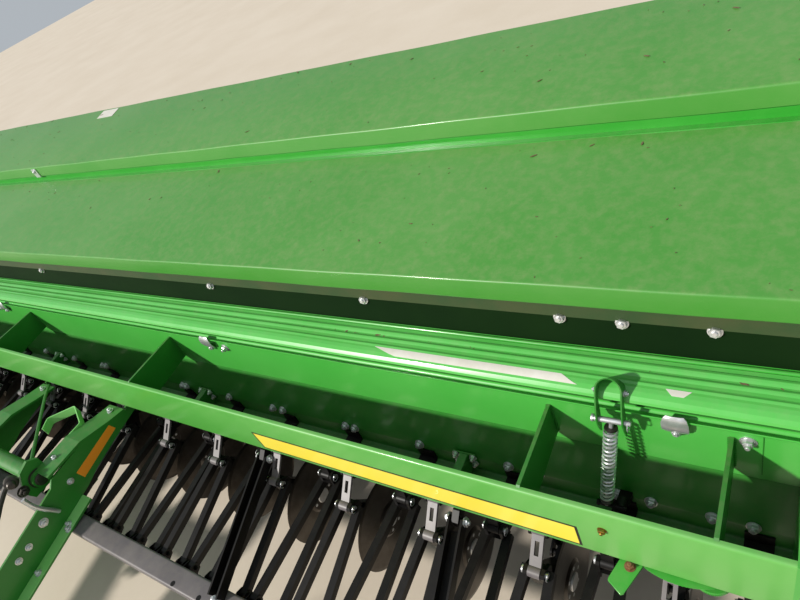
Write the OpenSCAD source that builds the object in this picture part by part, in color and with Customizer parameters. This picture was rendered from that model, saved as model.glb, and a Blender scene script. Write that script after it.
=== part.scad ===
// A wide end-wheel seed drill with a grain and fertilizer box, a front
// small-seed box, two ranks of single-disc openers and a drawn tongue.
// Sections are drawn in a plane across the drill: the first number is the
// distance behind the front channel's face and the second is the height.

/* [Rows] */
// Distance between two lift straps, which is twice the row spacing
strap_pitch = 304.8; // [285:0.1:320]
// Front openers on each side of the middle one
row_reach = 8; // [5:1:8]
// Box length past the outermost rear opener
box_margin = 66; // [60:1:90]

/* [Front channel and trough] */
// Height of the channel's lower edge above the ground
channel_low = 554; // [548:1:566]
// Height of the channel's face
channel_h = 206; // [190:1:220]
// Thickness of the channel's plate
channel_t = 6; // [4:0.5:10]
// Depth of the channel's lower flange
channel_flange = 54; // [40:1:60]
// Distance from the channel's face to the bright wall
trough_w = 243; // [235:1:255]
// Thickness of the gusset bars
gusset_t = 9; // [6:0.5:12]
// Depth of the gusset bars
gusset_h = 128; // [100:1:140]

/* [Seed boxes] */
// Thickness of the box sheet
sheet_t = 3; // [2:0.5:5]
// Height of the bright wall's top bead
bead_z = 798; // [790:1:802]
// Radius of the rolled bead
bead_r = 13; // [10:0.5:15]
// Distance to the grain box's front wall
grain_front = 343; // [338:1:350]
// Distance to the grain box's rear wall
grain_rear = 1172; // [1150:1:1180]
// Height of the hopper floors
hopper_z = 640; // [634:1:660]
// Width of each hopper floor
hopper_w = 100; // [90:1:120]

/* [Lids] */
// Thickness of the lid sheet
lid_t = 3; // [2:0.5:4]
// Slope of the lids in degrees
lid_slope = 10; // [8:0.5:11]
// Height of the front lid's lip top
lid_front_z = 1115; // [1105:1:1125]
// Depth of the front lid's lip
lid_lip = 62; // [45:1:70]
// Distance to the front lid's lip
lid_front_y = 303; // [296:1:312]
// Distance to the rear lid's lip
lid_rear_y = 775; // [765:1:785]
// Height of the rear lid's lip top
lid_rear_z = 1269; // [1262:1:1285]
// Depth of the rear lid's lip
lid_rear_lip = 51; // [35:1:56]

/* [Wheels] */
// Radius of the tyres
tyre_r = 445; // [430:1:460]
// Width of the tyres
tyre_w = 200; // [180:1:220]
// Radius of the rim's bead seat
rim_r = 254; // [240:1:270]
// Distance from the box end to the tyre
wheel_gap = 60; // [50:1:90]
// Distance of the axle behind the channel's face
axle_y = 740; // [720:1:780]
// Radius of the stub axle
axle_r = 25; // [20:0.5:30]

/* [Openers] */
// Side of the arm bars
arm_bar = 24; // [20:0.5:24]
// Half the width of a pair of arms at the drawbar
arm_spread = 54; // [50:0.5:54]
// Radius of the opener discs
disc_r = 171.5; // [165:0.5:175]
// Thickness of the opener discs
disc_t = 4; // [3:0.5:6]
// Working depth of the discs
seed_depth = 40; // [20:1:50]
// Distance of the front discs behind the channel's face
front_disc_y = 20; // [10:1:25]
// Distance of the rear discs behind the channel's face
rear_disc_y = 400; // [395:1:420]
// Degrees that the front openers drop to work
front_drop = 20; // [18:0.5:20]
// Degrees that the rear openers drop to work
rear_drop = 9; // [8.6:0.1:9.2]
// Radius of the press wheels
press_r = 125; // [110:1:128]
// Width of the press wheels
press_w = 50; // [35:1:56]
// Distance from a disc to its press wheel at work
press_back = 350; // [345:1:370]

/* [Drawbar and tongue] */
// Side of the square drawbar tube
tube_side = 72; // [66:1:73]
// Wall of the square drawbar tube
tube_wall = 5; // [4:0.5:8]
// Distance of the drawbar tube in front of the channel
tube_y = -434; // [-438:1:-432]
// Distance from the channel to the hitch pin
hitch_reach = 2250; // [2100:10:2400]
// Height of the hitch pin's middle
hitch_z = 400; // [380:1:420]
// Radius of the hitch pin's bore
hitch_bore_r = 16; // [12:0.5:20]

/* [Hidden] */
green = "#3d9a3a";
dark_green = "#2c6e2e";
black = "#1d1b1b";
grey = "#6e676a";
zinc = "#c9ccd0";
rubber = "#222222";
clear = 0.3;
rear_y = 1480;
hitch_nose = 50;
front_y = (hitch_reach + hitch_nose - rear_y) / 2;
box_half = (row_reach + 0.5) * strap_pitch + box_margin;
channel_top = channel_low + channel_h;
FRONT_X = [for (n = [-row_reach : row_reach]) n * strap_pitch];
REAR_X = [for (n = [-row_reach - 1 : row_reach]) (n + 0.5) * strap_pitch];
ALL_X = concat(FRONT_X, REAR_X);
plate_x = strap_pitch + 35;
GUSSET_X = [583, 2133, 2530];
BEARING_X = [2 * strap_pitch, 6 * strap_pitch];
BRACE_X = [1168, 1912];
brace_lean = 58;
bend_y = 202;
bend_z = 407;
bolt_z = 470;
wall_foot_z = 619;
barrel_r = 5;
front_hinge = [lid_rear_y - 18, 1188];
rear_hinge = [1190, 1316];
small_hinge = [grain_front - 8, 880];
seed_lid_back = small_hinge[0] - barrel_r - clear;
// Where the small-seed lid's nose turns into its ribbed top
brow = [trough_w + 7, 870];
rib_r = 4;
// The line on which all opener arms turn
arm_pivot = [-382, 366];
// The lift shaft and the two kinds of lever on it
shaft = [130, 450];
shaft_side = 40;
front_pin = [-60, 472];
front_tip = [14, 538];
rear_pin = [30, 438];
rear_tip = [46, 528];
pin_r = 8;
cyl_x = 76;
cyl_base = [-830, 262];
cyl_eye = [30, 300];
jack_x = 190;
beam_w = 60;
beam_back = [292, -800, 392];
beam_front = [45, -hitch_reach + 230, hitch_z];
// The point on the tongue beam's middle that the jack stands beside
jack_at = beam_back + (beam_front - beam_back) * 850 / 1220;
jack_y = jack_at[1];
jack_r = 32;
spring_x = 2297;
// The setting disc hangs midway between two rows' straps
dial_x = 8.25 * strap_pitch;
spring_top = [trough_w - 39, 800];
spring_low = [178, 508];

// The top face of the small-seed lid at a distance from the channel
function seed_lid_top(y) = brow[1] + (y - brow[0]) * 10 / (seed_lid_back - brow[0]);
// Height of a wall's top under a lid of the same slope
function lid_under(y0, z0, y) = z0 + (y - y0 - lid_t) * tan(lid_slope) - lid_t / cos(lid_slope) - clear;

// Height of a disc's middle with the openers raised, so that it reaches the
// seed depth when they have dropped.
function disc_z(y, drop) = arm_pivot[1] +
  (disc_r - seed_depth - arm_pivot[1] + (y - arm_pivot[0]) * sin(drop)) / cos(drop);
// Middle of the press wheel behind that disc, with the openers raised.
function press_at(y, drop) = let (dz = press_r + seed_depth - disc_r)
  [y + press_back * cos(drop) - dz * sin(drop),
   disc_z(y, drop) + press_back * sin(drop) + dz * cos(drop)];

module placed() {
  translate([0, front_y, 0]) children();
}

// A section drawn across the drill and stretched from x0 to x1.
module slab(x0, x1) {
  translate([x0, 0, 0]) rotate([90, 0, 90]) linear_extrude(x1 - x0) children();
}

// A slab of thickness t with its middle at x.
module plate(x, t) {
  slab(x - t / 2, x + t / 2) children();
}

// A straight bar of round section from one point to another.
module rod_between(a, b, r, fn = 24) {
  d = b - a;
  translate(a) rotate([0, atan2(norm([d[0], d[1]]), d[2]), atan2(d[1], d[0])])
    cylinder(h = norm(d), r = r, $fn = fn);
}

// A straight bar of rectangular section, w wide and h deep.
module bar_between(a, b, w, h) {
  d = b - a;
  translate(a) rotate([0, atan2(norm([d[0], d[1]]), d[2]), atan2(d[1], d[0])])
    translate([-h / 2, -w / 2, 0]) cube([h, w, norm(d)]);
}

// A round pin or boss that lies along the drill's length.
module pin_x(x0, x1, at, r, fn = 32) {
  translate([x0, at[0], at[1]]) rotate([0, 90, 0]) cylinder(h = x1 - x0, r = r, $fn = fn);
}

module front_channel() color(green) placed() {
  bend = 9;
  slab(-box_half, box_half) difference() {
    union() {
      translate([0, channel_low]) square([channel_t, channel_h - bend]);
      translate([channel_t, channel_low]) square([channel_flange, channel_t]);
      translate([bend, channel_top - bend]) difference() {
        intersection() {
          circle(r = bend, $fn = 48);
          translate([-bend, 0]) square([bend, bend]);
        }
        circle(r = bend - channel_t, $fn = 48);
      }
    }
    translate([0, channel_low]) difference() {
      square([bend, bend]);
      translate([bend, bend]) circle(r = bend, $fn = 48);
    }
  }
}

module gusset_bars() color(green) placed() {
  bend = 9;
  for (side = [-1, 1]) for (x = GUSSET_X) plate(side * x, gusset_t)
    polygon([[channel_t, channel_top - bend], [channel_t, channel_top - gusset_h],
             [trough_w, channel_top - gusset_h + 20], [trough_w, channel_top + 4],
             [channel_t + 8, channel_top + 4], [bend, channel_top], [bend, channel_top - bend + 3]]);
}

module back_plate() color(dark_green) placed() {
  t = 5;
  slab(-box_half, box_half)
    polygon([[trough_w, wall_foot_z], [bend_y, bolt_z], [bend_y, bend_z], [165, bend_z],
             [165, bend_z - t], [bend_y + t, bend_z - t], [bend_y + t, bolt_z - 1],
             [trough_w + t, wall_foot_z - 1], [trough_w + t, wall_foot_z]]);
}

module small_seed_box() color(green) placed() {
  t = sheet_t;
  floor_z = 560;
  bead = [trough_w + 4, bead_z];
  slab(-box_half, box_half) {
    difference() {
      polygon([[trough_w, bead_z], [trough_w, wall_foot_z], [trough_w + 6, wall_foot_z],
               [262, floor_z], [324, floor_z], [grain_front, wall_foot_z],
               [grain_front, wall_foot_z + 51], [grain_front - t, wall_foot_z + 51],
               [grain_front - t, wall_foot_z + 1], [322, floor_z + t], [264, floor_z + t],
               [trough_w + 6 + t, wall_foot_z + 4], [trough_w + t, wall_foot_z + 9],
               [trough_w + t, bead_z]]);
      translate(bead) circle(r = bead_r, $fn = 32);
    }
    translate(bead) circle(r = bead_r, $fn = 32);
  }
}

// The grain box is a shell with two hoppers and a dividing wall.
module grain_box() color(green) placed() {
  t = sheet_t;
  mid = lid_rear_y + 12;
  neck_z = 880;
  front_floor = (grain_front + mid - hopper_w) / 2;
  rear_floor = (mid + grain_rear - hopper_w) / 2;
  front_z = lid_under(lid_front_y, lid_front_z, grain_front);
  mid_z = lid_under(lid_rear_y, lid_rear_z, mid);
  rear_z = lid_under(lid_rear_y, lid_rear_z, grain_rear - t);
  outer = [[grain_front, front_z], [grain_front, neck_z], [front_floor, hopper_z],
    [front_floor + hopper_w, hopper_z], [mid - 20, neck_z], [mid + 20, neck_z],
    [rear_floor, hopper_z], [rear_floor + hopper_w, hopper_z], [grain_rear, neck_z],
    [grain_rear, rear_z], [mid, mid_z], [mid, front_z + 60]];
  slab(-box_half, box_half) difference() {
    polygon(outer);
    polygon([[grain_front + t, front_z + 90], [grain_front + t, neck_z + 1],
             [front_floor + 2, hopper_z + t], [front_floor + hopper_w - 2, hopper_z + t],
             [mid - 22, neck_z + 5], [mid, neck_z + 9], [mid, front_z + 90]]);
    polygon([[mid + t, 1500], [mid + t, neck_z + 9], [mid + 22, neck_z + 5],
             [rear_floor + 2, hopper_z + t], [rear_floor + hopper_w - 2, hopper_z + t],
             [grain_rear - t, neck_z + 1], [grain_rear - t, 1500]]);
  }
  for (side = [-1, 1]) plate(side * (box_half - t / 2), t) polygon(outer);
  // Hinge strips and barrels of the three lids
  slab(-box_half, box_half) {
    translate([front_hinge[0], front_hinge[1] - barrel_r]) square([mid - front_hinge[0] + 1, t]);
    translate(front_hinge) circle(r = barrel_r, $fn = 24);
    polygon([[grain_rear - 1, rear_hinge[1] - 30], [rear_hinge[0] + barrel_r, rear_hinge[1] - 30],
             [rear_hinge[0] + barrel_r, rear_hinge[1]], [rear_hinge[0] + 2, rear_hinge[1]],
             [rear_hinge[0] + 2, rear_hinge[1] - 26], [grain_rear - 1, rear_hinge[1] - 26]]);
    translate(rear_hinge) circle(r = barrel_r, $fn = 24);
    translate([small_hinge[0], small_hinge[1] - t / 2]) square([grain_front + 1 - small_hinge[0], t]);
    translate(small_hinge) circle(r = barrel_r, $fn = 24);
  }
}

module end_frames() color(green) placed() {
  t = 12;
  for (side = [-1, 1]) {
    x = side * (box_half + t / 2);
    difference() {
      plate(x, t)
        polygon([[0, channel_low], [0, channel_top], [225, 800], [320, 866], [grain_front, 880],
                 [grain_front, 960], [grain_rear, 960], [grain_rear, 760], [1240, 740], [1240, 560],
                 [axle_y + 90, tyre_r + 40], [axle_y + 55, tyre_r - 70],
                 [axle_y - 55, tyre_r - 70], [axle_y - 90, tyre_r + 40],
                 [300, 400], [190, 395], [80, 420]]);
      pin_x(x - t, x + t, [axle_y, tyre_r], axle_r, 48);
      pin_x(x - t, x + t, [470, 560], 60, 48);
    }
    x0 = side > 0 ? box_half - 30 : -box_half - axle_len();
    x1 = side > 0 ? box_half + axle_len() : -box_half + 30;
    pin_x(x0, x1, [axle_y, tyre_r], axle_r, 48);
  }
}
function axle_len() = wheel_gap + tyre_w / 2 + 60;

module rear_beam() color(green) placed() {
  slab(-box_half, box_half) difference() {
    translate([1140, 560]) square([100, 120]);
    translate([1146, 566]) square([88, 108]);
  }
  for (x = [-1500, -500, 500, 1500]) plate(x, 8)
    polygon([[1078, 706], [1150, 680], [1230, 680], [1200, 960], [grain_rear, 960], [grain_rear, 880]]);
}

module footboard() color(dark_green) placed() {
  y0 = 1262;
  z = 420;
  slab(-box_half + 60, box_half - 60) {
    translate([y0, z]) square([rear_y - y0, 4]);
    translate([y0, z - 30]) square([4, 30]);
    translate([rear_y - 4, z - 30]) square([4, 30]);
  }
  for (x = [-2000, -700, 700, 2000]) plate(x, 6)
    polygon([[1240, 670], [1240, 570], [y0 + 6, z + 4], [rear_y - 30, z + 4], [1290, z + 60]]);
}

module feed_cups() color(grey) placed() {
  mid = lid_rear_y + 12;
  rows = [(grain_front + mid) / 2, (mid + grain_rear) / 2];
  for (x = ALL_X) for (y = rows) {
    translate([x - 35, y - 38, 575]) cube([70, 76, hopper_z - 575]);
    translate([x, y, 548]) cylinder(h = 27, r1 = 22, r2 = 30, $fn = 32);
  }
  for (y = rows) pin_x(-box_half, box_half, [y - 52, 600], 10);
  for (n = [-row_reach : row_reach - 1]) for (y = rows)
    plate((n + 0.25) * strap_pitch, 16) translate([y - 66, 584]) square([28 + 20, hopper_z - 584]);
}

// Drop tubes from the cups to the boot funnels, and side tubes that join them.
module seed_tubes() color(black) placed() {
  mid = lid_rear_y + 12;
  top = (grain_front + mid) / 2;
  back = (mid + grain_rear) / 2;
  for (x = FRONT_X) {
    rod_between([x, top, 535], [x + 50, 496, 500], 13);
    rod_between([x + 50, 500, 502], [x + 50, 222, 364], 13);
    rod_between([x + 51, 230, 366], [x + 4, 160, 352], 13);
  }
  for (x = REAR_X) rod_between([x, top, 540], [x, rear_disc_y + 98, 411], 15);
  for (x = ALL_X) rod_between([x, back, 536], [x, top + 10, 516], 11);
}

module drawbar_tube() color(grey) placed() {
  s = tube_side;
  slab(-box_half + 30, box_half - 30) translate([tube_y, arm_pivot[1]]) difference() {
    square(s, center = true);
    square(s - 2 * tube_wall, center = true);
  }
  // Lugs that hold the arm pivots
  back = tube_y + s / 2;
  for (x = ALL_X) for (e = [-1, 1]) {
    c = x + e * arm_spread;
    for (f = [-1, 1]) plate(c + f * (arm_bar / 2 + 3.5), 3)
      polygon([[back, arm_pivot[1] + 24], [back, arm_pivot[1] - 24],
               [arm_pivot[0] + 14, arm_pivot[1] - 14], [arm_pivot[0] + 14, arm_pivot[1] + 14]]);
    pin_x(c - arm_bar / 2 - 5, c + arm_bar / 2 + 5, arm_pivot, pin_r - 1);
  }
}

// Channel-section braces from eyes under the front channel to the drawbar tube
module braces() color(black) placed() {
  low_z = arm_pivot[1] + tube_side / 2 + 19.6;
  eye = [-14, channel_low - 29];
  for (side = [-1, 1]) for (x = BRACE_X) {
    for (e = [-1, 1])
      bar_between([side * x + e * 19, eye[0], eye[1]],
                  [side * (x + brace_lean) + e * 19, tube_y, low_z], 6, 38);
    bar_between([side * x, eye[0] - 24, eye[1] - 22],
                [side * (x + brace_lean), tube_y + 20, low_z - 10], 34, 6);
    plate(side * x, 20)
      polygon([[34, channel_low], [-2, channel_low], [-28, channel_low - 20], [-28, channel_low - 42],
               [-2, channel_low - 44], [34, channel_low - 8]]);
    pin_x(side * x - 22, side * x + 22, eye, 8);
  }
}

// Side plates that hang from the channel, sit on the drawbar tube and carry the tongue.
module tongue_plates() color(dark_green) placed() {
  t = 10;
  for (side = [-1, 1]) {
    x0 = side > 0 ? plate_x + t / 2 : -plate_x - t / 2 - 58;
    plate(side * plate_x, t)
      polygon([[54, channel_low], [-4, channel_low], [-4, 543], [-84, 560], [-211, 596], [-370, 586],
               [-396, 560], [-496, 538], [-684, 497], [-900, 453], [-900, 325], [-702, 365],
               [-310, 443], [-240, 467], [-128, 490], [54, 520]]);
    slab(x0, x0 + 58)
      polygon([[-345, 428], [-702, 357], [-900, 317], [-900, 325], [-702, 365], [-345, 436]]);
  }
  // Cross member and ears that hold the lift cylinder's base pin
  slab(-plate_x + t / 2, plate_x - t / 2) translate([-860, 335]) square([60, 90]);
  for (e = [-1, 1]) plate(cyl_x + e * 24, 10)
    polygon([[-860, 335], [cyl_base[0] - 22, cyl_base[1] - 20],
             [cyl_base[0] + 22, cyl_base[1] - 20], [-800, 335]]);
  pin_x(cyl_x - 29, cyl_x + 29, cyl_base, 12.5);
}

// Flat stays from the plates' tops to the brackets that hold the pivot tube.
module pivot_bridge() color(dark_green) placed() {
  outer_x = plate_x + 5;
  pivot = [-378, 572];
  for (side = [-1, 1]) {
    slab(side > 0 ? 240 : -outer_x, side > 0 ? outer_x : -240)
      polygon([[-12, 545], [-12, 555], [-84, 570], [-211, 606], [-372, 605], [-372, 595], [-211, 596],
               [-84, 560]]);
    plate(side * 232, 16)
      polygon([[-330, 540], [-330, 632], [-362, 656], [-408, 640], [-452, 566], [-436, 520], [-360, 520]]);
    pin_x(side > 0 ? 240 : -262, side > 0 ? 262 : -240, pivot, 33, 48);
  }
  slab(-224, 224) translate(pivot) difference() {
    circle(r = 33, $fn = 48);
    circle(r = 25, $fn = 48);
  }
}

module tongue_beam() color(green) placed() {
  difference() {
    for (side = [-1, 1])
      bar_between([side * beam_back[0], beam_back[1], beam_back[2]],
                  [side * beam_front[0], beam_front[1], beam_front[2]], beam_w, 110);
    // The beams end on the front face of the plates' cross member
    translate([-plate_x, -860, 300]) cube([2 * plate_x, 120, 200]);
  }
  translate([-85, -hitch_reach + 165, hitch_z - 55]) cube([170, 130, 110]);
}

module hitch() color(dark_green) placed() {
  t = 14;
  difference() {
    for (z = [hitch_z - 28 - t, hitch_z + 28]) {
      translate([-hitch_nose, -hitch_reach, z]) cube([2 * hitch_nose, 165, t]);
      translate([0, -hitch_reach, z]) cylinder(h = t, r = hitch_nose, $fn = 64);
    }
    translate([0, -hitch_reach, hitch_z - 80]) cylinder(h = 160, r = hitch_bore_r, $fn = 64);
  }
}

module jack_tube() color(green) placed() {
  run = beam_front - beam_back;
  aside = [-run[1], run[0], 0] / norm([run[0], run[1]]) * (beam_w / 2 + 6 + clear);
  half = run / norm(run) * 30;
  difference() {
    union() {
      translate([jack_x, jack_y, 250]) cylinder(h = 560, r = jack_r, $fn = 48);
      bar_between(jack_at + aside - half, jack_at + aside + half, 12, 80);
    }
    translate([jack_x, jack_y, 240]) cylinder(h = 560, r = jack_r - 5, $fn = 48);
  }
}
module jack_leg() color(zinc) placed() {
  translate([jack_x, jack_y, 8]) cylinder(h = 490, r = jack_r - 5 - clear, $fn = 48);
  translate([jack_x, jack_y, 0]) cylinder(h = 8, r = 100, $fn = 48);
}

module hanger_brackets() color(black) placed() {
  for (x = REAR_X) plate(x, 62)
    polygon([[bend_y, bolt_z - 22], [bend_y, bend_z], [168, bend_z], [168, bend_z + 5],
             [bend_y - 5, bend_z + 5], [bend_y - 5, bolt_z - 22]]);
}

// Pressed hangers that hold the lift shaft in front of the back plate.
module shaft_bearings() color(green) placed() {
  r = shaft_side / sqrt(2) + 0.6;
  for (side = [-1, 1]) for (b = BEARING_X) {
    x = side * b;
    difference() {
      plate(x, 26) polygon([[bend_y, 490], [bend_y - 6, 490], [shaft[0], shaft[1] + r + 7],
        [shaft[0] - r - 7, shaft[1] + 10], [shaft[0] - r - 7, shaft[1] - 12],
        [shaft[0] - 10, shaft[1] - r - 7], [shaft[0] + 20, shaft[1] - r - 7],
        [bend_y - 40, bend_z + 10], [bend_y, bend_z + 10]]);
      pin_x(x - 40, x + 40, shaft, r, 48);
    }
    plate(x, 76) translate([bend_y - 5, bolt_z - 30]) square([5, 52]);
  }
}

module latches() color(zinc) placed() {
  for (side = [-1, 1]) for (x = [840, 2424]) plate(side * x, 54)
    polygon([[trough_w, 748], [trough_w - 5, 748], [trough_w - 20, 764], [trough_w - 20, 792],
             [trough_w - 12, 792], [trough_w - 12, 776], [trough_w, 776]]);
}

module spring_hooks() color(black) placed() {
  for (side = [-1, 1]) plate(side * spring_x, 30)
    polygon([[bend_y, 466], [bend_y, bolt_z], [bend_y + 3, 492], [spring_low[0] - 16, spring_low[1] - 4],
             [spring_low[0] - 16, spring_low[1] - 12]]);
}
module lid_springs() color(zinc) placed() {
  for (side = [-1, 1])
    rod_between([side * spring_x, spring_low[0], spring_low[1]],
                [side * spring_x, spring_top[0] - 0.7, spring_top[1] - 7.4], 15);
}
module setting_disc() color(green) placed() {
  translate([dial_x, 40, channel_low - 34]) cylinder(h = 12, r = 42, $fn = 96);
  translate([dial_x, 40, channel_low - 22]) cylinder(h = 22, r = 16, $fn = 32);
}

module drive_case() color(green) placed() {
  slab(box_half + 12, box_half + 42)
    polygon([[480, 560], [480, 650], [560, 690], [1020, 690], [1060, 640], [1040, 560],
             [axle_y + 80, tyre_r + 60], [axle_y + 50, tyre_r + 40],
             [axle_y - 50, tyre_r + 40], [axle_y - 80, tyre_r + 60]]);
}

function wheel_x() = box_half + wheel_gap + tyre_w / 2;
module tyre() {
  half = tyre_w / 2;
  rotate([0, 90, 0]) rotate_extrude($fn = 96) difference() {
    polygon([[rim_r, -64], [rim_r + 20, -72], [rim_r + 90, -half], [tyre_r - 34, -half + 4],
             [tyre_r, -half + 32], [tyre_r, half - 32], [tyre_r - 34, half - 4],
             [rim_r + 90, half], [rim_r + 20, 72], [rim_r, 64]]);
    for (g = [-38, -13, 13, 38]) translate([tyre_r - 9, g - 4]) square([12, 8]);
  }
}
module rim() {
  rotate([0, 90, 0]) difference() {
    union() {
      rotate_extrude($fn = 96) polygon([[rim_r, -64], [rim_r, 64], [rim_r + 18, 72], [rim_r + 18, 77],
        [rim_r - 8, 70], [rim_r - 12, 30], [rim_r - 30, 20], [rim_r - 30, -20],
        [rim_r - 12, -30], [rim_r - 8, -70], [rim_r + 18, -77], [rim_r + 18, -72]]);
      rotate_extrude($fn = 96) polygon([[60, 20], [110, 26], [rim_r - 30, 4], [rim_r - 30, -4],
        [110, 18], [60, 12]]);
      translate([0, 0, -70]) cylinder(h = 115, r = 60, $fn = 64);
    }
    translate([0, 0, -80]) cylinder(h = 160, r = axle_r + 0.05, $fn = 64);
    for (a = [0 : 60 : 300]) rotate([0, 0, a]) translate([155, 0, -30]) cylinder(h = 80, r = 20, $fn = 32);
  }
}
module at_wheel(side) {
  translate([side * wheel_x(), axle_y, tyre_r]) mirror([side < 0 ? 1 : 0, 0, 0]) children();
}
module tyre_right() color(rubber) placed() at_wheel(1) tyre();
module rim_right() color(green) placed() at_wheel(1) rim();
module tyre_left() color(rubber) placed() at_wheel(-1) tyre();
module rim_left() color(green) placed() at_wheel(-1) rim();

module lid_front() color(green) placed() {
  t = lid_t;
  back = front_hinge[0] - barrel_r - clear;
  rise = (back - lid_front_y) * tan(lid_slope);
  slab(-box_half - 10, box_half + 10)
    polygon([[lid_front_y, lid_front_z - 3], [lid_front_y, lid_front_z - lid_lip],
             [lid_front_y + 20, lid_front_z - lid_lip], [lid_front_y + 20, lid_front_z - lid_lip + t],
             [lid_front_y + t, lid_front_z - lid_lip + t], [lid_front_y + t, lid_front_z - t],
             [back, lid_front_z + rise - t], [back, lid_front_z + rise], [lid_front_y + 3, lid_front_z]]);
}

module lid_rear() color(green) placed() {
  t = lid_t;
  back = rear_hinge[0] - barrel_r - clear;
  rise = (back - lid_rear_y) * tan(lid_slope);
  slab(-box_half - 10, box_half + 10)
    polygon([[lid_rear_y, lid_rear_z - 3], [lid_rear_y, lid_rear_z - lid_rear_lip],
             [lid_rear_y + t, lid_rear_z - lid_rear_lip], [lid_rear_y + t, lid_rear_z - t],
             [back - t, lid_rear_z + rise - t], [back - t, lid_rear_z + rise - 27],
             [back, lid_rear_z + rise - 27], [back, lid_rear_z + rise], [lid_rear_y + 3, lid_rear_z]]);
}

module small_seed_lid() color(green) placed() {
  back = seed_lid_back;
  first = brow[0] + 6;
  gap = (back - 12.7 - first) / 4;
  slab(-box_half + 6, box_half - 6) {
    polygon([[trough_w - 17, 845], [trough_w - 13, 845], [trough_w - 12, 848], [trough_w + 10, 866],
             [back, seed_lid_top(back) - 4], [back, seed_lid_top(back)], brow, [trough_w - 17, 850]]);
    for (i = [0 : 4]) translate([first + i * gap, seed_lid_top(first + i * gap) - 0.3])
      circle(r = rib_r, $fn = 24);
  }
}

module spring_clevises() color(green) placed() {
  tail = trough_w + 49;
  over = rib_r + clear;
  for (side = [-1, 1]) {
    for (e = [-1, 1]) plate(side * spring_x + e * 34, 5)
      polygon([[tail, seed_lid_top(tail) + over], [trough_w + 19, 912], [trough_w - 11, 912],
               [trough_w - 53, 806], [trough_w - 49, 786], [trough_w - 31, 786], [trough_w - 20, 812],
               [trough_w - 19.6, 848.5], [trough_w + 6, 871.2],
               [trough_w + 9, seed_lid_top(trough_w + 9) + over]]);
    pin_x(side * spring_x - 50, side * spring_x + 50, spring_top, 7);
  }
}

// A lever from the lift shaft to a tip, as two cheeks beside the strap.
module lever_pair(x, tip, reach) {
  d = tip - shaft;
  ang = atan2(d[1], d[0]);
  for (e = [-1, 1]) plate(x + e * 21.5, 6) difference() {
    translate(shaft) rotate(ang) union() {
      polygon([[-14, -20], [24, -20], [norm(d), -reach], [norm(d), reach], [24, 20], [-14, 20]]);
      translate([norm(d), 0]) circle(r = reach, $fn = 32);
    }
    translate(tip) circle(r = pin_r - 2, $fn = 32);
  }
}

module rockshaft() color(black) placed() {
  slab(-box_half + 36, box_half - 36) translate(shaft) square(shaft_side, center = true);
  for (x = FRONT_X) lever_pair(x, front_tip, 10);
  for (x = REAR_X) lever_pair(x, rear_tip, 10);
  for (e = [-1, 1]) plate(cyl_x + e * 23, 6) difference() {
    polygon([[shaft[0] + 20, shaft[1]], [shaft[0] - 20, shaft[1] + 12], [cyl_eye[0] - 28, cyl_eye[1] + 6],
             [cyl_eye[0] - 16, cyl_eye[1] - 24], [cyl_eye[0] + 14, cyl_eye[1] - 24]]);
    translate(cyl_eye) circle(r = 13, $fn = 32);
  }
}

module straps_at(rows, low, tip) {
  d = tip - low;
  for (x = rows) translate([x, low[0], low[1]]) {
    difference() {
      union() {
        rotate([atan2(d[1], d[0]), 0, 0]) translate([-15.5, 0, -4]) cube([31, norm(d), 8]);
        pin_x(-16, 16, [0, 0], 15);
        pin_x(-17, 17, d, 7.5);
      }
      pin_x(-20, 20, [0, 0], pin_r + clear);
      rotate([atan2(d[1], d[0]), 0, 0]) translate([-6, norm(d) * 0.41, -12]) cube([12, norm(d) * 0.37, 24]);
    }
  }
}
module front_straps() color(grey) placed() straps_at(FRONT_X, front_pin, front_tip);
module rear_straps() color(black) placed() straps_at(REAR_X, rear_pin, rear_tip);

// The arms of one rank, from the pivots on the drawbar to the opener's head.
module arms_at(rows, pin, head) {
  w = arm_bar;
  for (x = rows) {
    for (e = [-1, 1]) {
      c = x + e * arm_spread;
      difference() {
        union() {
          bar_between([c, arm_pivot[0], arm_pivot[1]], [x + e * 31, head[0], head[1]], w, w);
          pin_x(c - w / 2, c + w / 2, arm_pivot, 13.5);
        }
        pin_x(c - 30, c + 30, arm_pivot, pin_r - 1 + clear);
      }
      plate(x + e * 23, 10) polygon([[head[0] - 26, head[1] - 14], [head[0] + 14, head[1] - 14],
        [head[0] + 14, head[1] + 14], [pin[0] + 13, pin[1] + 6], [pin[0] + 8, pin[1] + 13],
        [pin[0] - 8, pin[1] + 13], [pin[0] - 14, pin[1] + 4]]);
    }
    pin_x(x - 28, x + 28, pin, pin_r);
  }
}
module front_arms() color(black) placed() arms_at(FRONT_X, front_pin, [-40, 448]);
module rear_arms() color(black) placed() arms_at(REAR_X, rear_pin, [36, 404]);

// One rank of opener bodies: shank, boot, seed funnel, disc spindle and press wheel arms.
module boots_at(rows, shank, y, drop, funnel) {
  z = disc_z(y, drop);
  w = press_at(y, drop);
  for (x = rows) translate([x, 0, 0]) {
    plate(0, 36) polygon(shank);
    plate(0, 20) polygon([[y - 34, z + 60], [y + 60, z + 66], [y + 74, z - 20], [y + 60, z - 118],
      [y + 34, z - 126], [y - 20, z - 30]]);
    translate([0, funnel[0], funnel[1] - 42]) difference() {
      cylinder(h = 42, r1 = 18, r2 = 25, $fn = 32);
      translate([0, 0, 8]) cylinder(h = 40, r1 = 17.8, r2 = 23, $fn = 32);
    }
    plate(0, 16) polygon([[y + 10, z + 40], [y + 60, z - 60], [funnel[0] + 16, funnel[1] - 36],
      [funnel[0] - 16, funnel[1] - 36]]);
    pin_x(10, 28, [y, z], 18);
    pin_x(28, 40, [y, z], 14.95);
    plate(-34, 6) bar2d([y + 56, z + 20], w, 30);
    pin_x(-37, 0, [y + 56, z + 20], 9);
    pin_x(-37, 31, w, 9);
  }
}

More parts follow.
